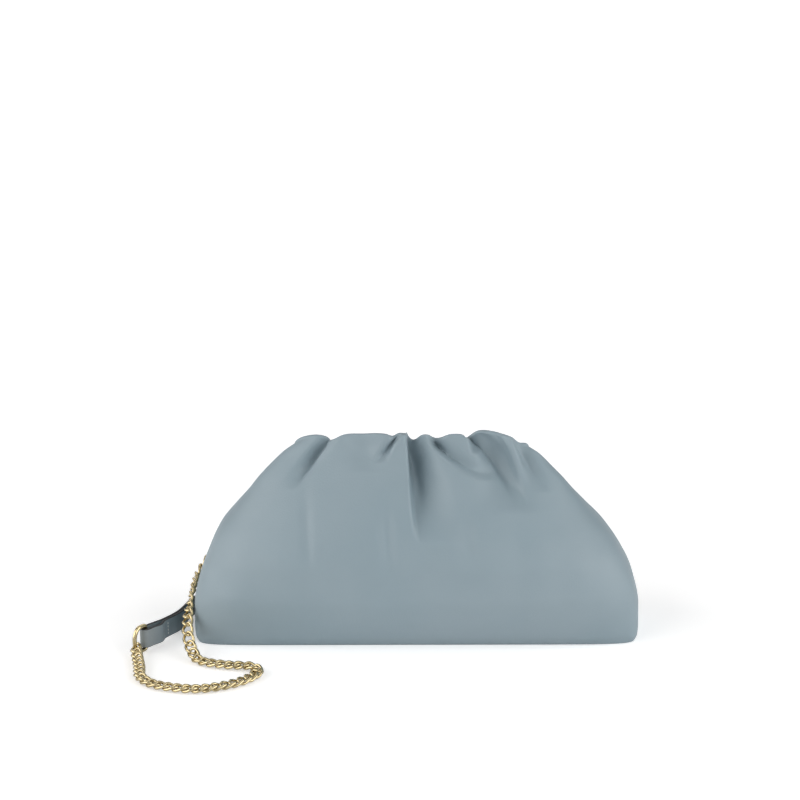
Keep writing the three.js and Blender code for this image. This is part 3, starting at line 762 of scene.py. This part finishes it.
def make_stitches(material):
    """A short row of stitches across each folded end, through both layers, seen on both outer faces."""
    run, from_ring, side = strap_run()
    main, folded = strap_layers(run, from_ring, side)
    half = len(run) // 2
    ends = [int(np.argmin(np.abs(from_ring[:half] - STITCH_ROW)))]
    ends.append(half + int(np.argmin(np.abs(from_ring[half:] - STITCH_ROW))))
    outside = STRAP_THICKNESS / 2
    shape, shape_faces = stitch_shape()
    points = []
    faces = []
    for i in ends:
        for place in (folded[i] + side[i] * outside, main[i] - side[i] * outside):
            lift = strap_lift(place)[0]
            for k in range(STITCHES):
                height = STRAP_WIDTH / 2 + lift + (k - (STITCHES - 1) / 2) * STITCH_PITCH
                faces += shifted(shape_faces, len(points) * len(shape))
                points.append(place + np.array([0, 0, height]) + shape)
    return mesh_object("strap_stitches", np.concatenate(points), faces, material)


def stitch_shape():
    """One stitch of thread, upright, rounded at both ends."""
    turns = 2 * np.pi * np.arange(STITCH_SIDES) / STITCH_SIDES
    rings = []
    for level in np.linspace(-0.5, 0.5, STITCH_RINGS):
        radius = THREAD / 2 * (1 - (STITCH_TAPER * level) ** 4)
        height = np.full(STITCH_SIDES, STITCH_LENGTH * level)
        rings.append(np.stack([radius * np.cos(turns), radius * np.sin(turns), height], 1))
    return np.concatenate(rings), capped_faces(STITCH_RINGS, STITCH_SIDES)


def new_material(name):
    """A material with its shader, and where on the object (in metres) each of its points lies."""
    material = bpy.data.materials.new(name)
    material.use_nodes = True
    tree = material.node_tree
    place = tree.nodes.new("ShaderNodeTexCoord").outputs["Object"]
    return material, tree, tree.nodes["Principled BSDF"], place


def noise(tree, place, scale, detail):
    node = tree.nodes.new("ShaderNodeTexNoise")
    node.inputs["Scale"].default_value = scale
    node.inputs["Detail"].default_value = detail
    tree.links.new(place, node.inputs["Vector"])
    return node.outputs[0]


def ramp(tree, value, low, high, colours):
    """Colours that go from the first to the second as the value goes from low to high."""
    node = tree.nodes.new("ShaderNodeValToRGB")
    for stop, at, colour in zip(node.color_ramp.elements, (low, high), colours):
        stop.position = at
        stop.color = (*colour, 1)
    tree.links.new(value, node.inputs["Fac"])
    return node.outputs["Color"]


def grey(value):
    return (value, value, value)


def blend(tree, share, colour, other):
    """A mix of two colours by a linked share; the second colour is linked or plain."""
    node = tree.nodes.new("ShaderNodeMix")
    node.data_type = "RGBA"
    tree.links.new(share, node.inputs["Factor"])
    tree.links.new(colour, node.inputs["A"])
    if isinstance(other, tuple):
        node.inputs["B"].default_value = (*other, 1)
    else:
        tree.links.new(other, node.inputs["B"])
    return node.outputs["Result"]


def point_value(tree, name):
    node = tree.nodes.new("ShaderNodeAttribute")
    node.attribute_name = name
    return node.outputs["Fac"]


def add_grain(tree, shader, place, cell, strength):
    """The fine pebble of full-grain leather, with cells of about the given size in metres."""
    pebble = tree.nodes.new("ShaderNodeTexVoronoi")
    pebble.feature = "SMOOTH_F1"
    pebble.inputs["Scale"].default_value = 1 / cell
    tree.links.new(place, pebble.inputs["Vector"])
    bump = tree.nodes.new("ShaderNodeBump")
    bump.inputs["Strength"].default_value = strength
    bump.inputs["Distance"].default_value = GRAIN_HEIGHT
    tree.links.new(pebble.outputs["Distance"], bump.inputs["Height"])
    tree.links.new(bump.outputs["Normal"], shader.inputs["Normal"])


def bag_leather_material():
    """Soft blue-grey leather with a satin finish, faint clouding and a fine grain."""
    material, tree, shader, place = new_material("bag_leather")
    clouds = noise(tree, place, scale=14, detail=3)
    tree.links.new(ramp(tree, clouds, 0.35, 0.65, BAG_BLUES), shader.inputs["Base Color"])
    polish = noise(tree, place, scale=60, detail=2)
    roughness = ramp(tree, polish, 0.3, 0.7, (grey(0.45), grey(0.56)))
    tree.links.new(roughness, shader.inputs["Roughness"])
    shader.inputs["Sheen Weight"].default_value = 0.04
    add_grain(tree, shader, place, BAG_GRAIN, strength=0.18)
    return material


def strap_leather_material():
    """The strap's darker leather, with painted light that makes it paler near a ring, and near-black
    painted edges.
    """
    material, tree, shader, place = new_material("strap_leather")
    clouds = noise(tree, place, scale=40, detail=3)
    colour = ramp(tree, clouds, 0.35, 0.65, STRAP_BLUES)
    # painted light: paler leather near each ring
    colour = blend(tree, point_value(tree, "painted_light"), colour, PAINTED_LIGHT_BLUE)
    colour = blend(tree, point_value(tree, "edge_paint"), colour, EDGE_PAINT)
    tree.links.new(colour, shader.inputs["Base Color"])
    polish = noise(tree, place, scale=90, detail=2)
    roughness = ramp(tree, polish, 0.3, 0.7, (grey(0.4), grey(0.5)))
    tree.links.new(roughness, shader.inputs["Roughness"])
    add_grain(tree, shader, place, STRAP_GRAIN, strength=0.15)
    return material


def thread_material():
    """Pale waxed thread, with the faint lay of its strands."""
    material, tree, shader, place = new_material("thread")
    strands = noise(tree, place, scale=2500, detail=1)
    tree.links.new(ramp(tree, strands, 0.4, 0.6, THREAD_GREYS), shader.inputs["Base Color"])
    shader.inputs["Roughness"].default_value = 0.6
    return material


def gold_material():
    """Pale polished gold plating with faint handling marks."""
    material, tree, shader, place = new_material("gold_metal")
    tone = noise(tree, place, scale=120, detail=2)
    tree.links.new(ramp(tree, tone, 0.3, 0.7, GOLDS), shader.inputs["Base Color"])
    shader.inputs["Metallic"].default_value = 1
    marks = noise(tree, place, scale=700, detail=3)
    roughness = ramp(tree, marks, 0.35, 0.7, (grey(0.06), grey(0.2)))
    tree.links.new(roughness, shader.inputs["Roughness"])
    return material


def floor_material():
    """A white studio floor, a little overexposed as in a product photograph."""
    material = bpy.data.materials.new("studio_floor")
    material.use_nodes = True
    nodes = material.node_tree.nodes
    links = material.node_tree.links
    shader = nodes["Principled BSDF"]
    shader.inputs["Base Color"].default_value = (*FLOOR_WHITE, 1)
    shader.inputs["Roughness"].default_value = 0.9
    shader.inputs["Emission Color"].default_value = (*WHITE, 1)
    seen = nodes.new("ShaderNodeLightPath")
    glow = nodes.new("ShaderNodeMath")
    glow.operation = "MULTIPLY_ADD"
    glow.inputs[1].default_value = FLOOR_GLOW_SEEN
    glow.inputs[2].default_value = FLOOR_GLOW
    links.new(seen.outputs["Is Camera Ray"], glow.inputs[0])
    links.new(glow.outputs[0], shader.inputs["Emission Strength"])
    return material


def studio_world():
    """Even white light all round, but reflections show softboxes and the dark gaps between them."""
    world = bpy.data.worlds.new("studio")
    world.use_nodes = True
    tree = world.node_tree
    background = tree.nodes["Background"]
    background.inputs["Strength"].default_value = SKY_STRENGTH
    way = tree.nodes.new("ShaderNodeTexCoord").outputs["Generated"]
    apart = tree.nodes.new("ShaderNodeSeparateXYZ")
    tree.links.new(way, apart.inputs[0])
    even = ramp(tree, apart.outputs["Z"], 0, 1, (WHITE, grey(ZENITH)))
    patches = noise(tree, way, SOFTBOX_SCALE, detail=0)
    boxes = ramp(tree, patches, *SOFTBOX_EDGE, (grey(SOFTBOX_GAP), grey(SOFTBOX)))
    seen = tree.nodes.new("ShaderNodeLightPath")
    colour = blend(tree, seen.outputs["Is Glossy Ray"], even, boxes)
    tree.links.new(colour, background.inputs["Color"])
    return world


def add_camera():
    data = bpy.data.cameras.new("camera")
    data.lens = CAMERA_LENS
    data.sensor_width = CAMERA_SENSOR
    data.clip_end = CAMERA_REACH
    camera = bpy.data.objects.new("camera", data)
    bpy.context.scene.collection.objects.link(camera)
    camera.location = CAMERA_PLACE
    aim = (Vector(CAMERA_TARGET) - Vector(CAMERA_PLACE)).to_track_quat("-Z", "Y")
    roll = Quaternion(UP, math.radians(CAMERA_ROLL_DEGREES))
    camera.rotation_euler = (aim @ roll).to_euler()
    bpy.context.scene.camera = camera


def add_sun(sun):
    data = bpy.data.lights.new(sun["name"], "SUN")
    data.energy = sun["strength"]
    data.color = sun["colour"]
    data.angle = math.radians(SUN_SPREAD_DEGREES)
    light = bpy.data.objects.new(sun["name"], data)
    bpy.context.scene.collection.objects.link(light)
    light.rotation_euler = Vector(sun["toward"]).to_track_quat("-Z", "Y").to_euler()


def add_studio():
    scene = bpy.context.scene
    scene.view_settings.view_transform = "Standard"
    scene.world = studio_world()
    side = FLOOR_HALF_SIDE / MM
    corners = [(-side, -side, 0), (side, -side, 0), (side, side, 0), (-side, side, 0)]
    floor = mesh_object("studio_floor", corners, [(0, 1, 2, 3)], floor_material())
    for sun in SUNS:
        add_sun(sun)


def stand_for(piece, node):
    """The piece belongs to the bag and stands in for one of its solids."""
    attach(piece, "root")
    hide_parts(node)


add_camera()
add_studio()

gold = gold_material()
stand_for(make_bag(bag_leather_material()), "bag_body")
stand_for(make_strap(strap_leather_material()), "strap_leather")
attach(make_stitches(thread_material()), "root")
stand_for(make_chain("curb_chain_left", left_chain_route(), gold), "chain_left")
stand_for(make_chain("curb_chain_right", right_chain_route(), gold), "chain_right")
stand_for(make_ring("d_ring_left", RING_LEFT, gold), "ring_left")
stand_for(make_ring("d_ring_right", RING_RIGHT, gold), "ring_right")
stand_for(make_eye("chain_eye_left", EYE_LEFT, gold), "anchor_left")
stand_for(make_eye("chain_eye_right", EYE_RIGHT, gold), "anchor_right")
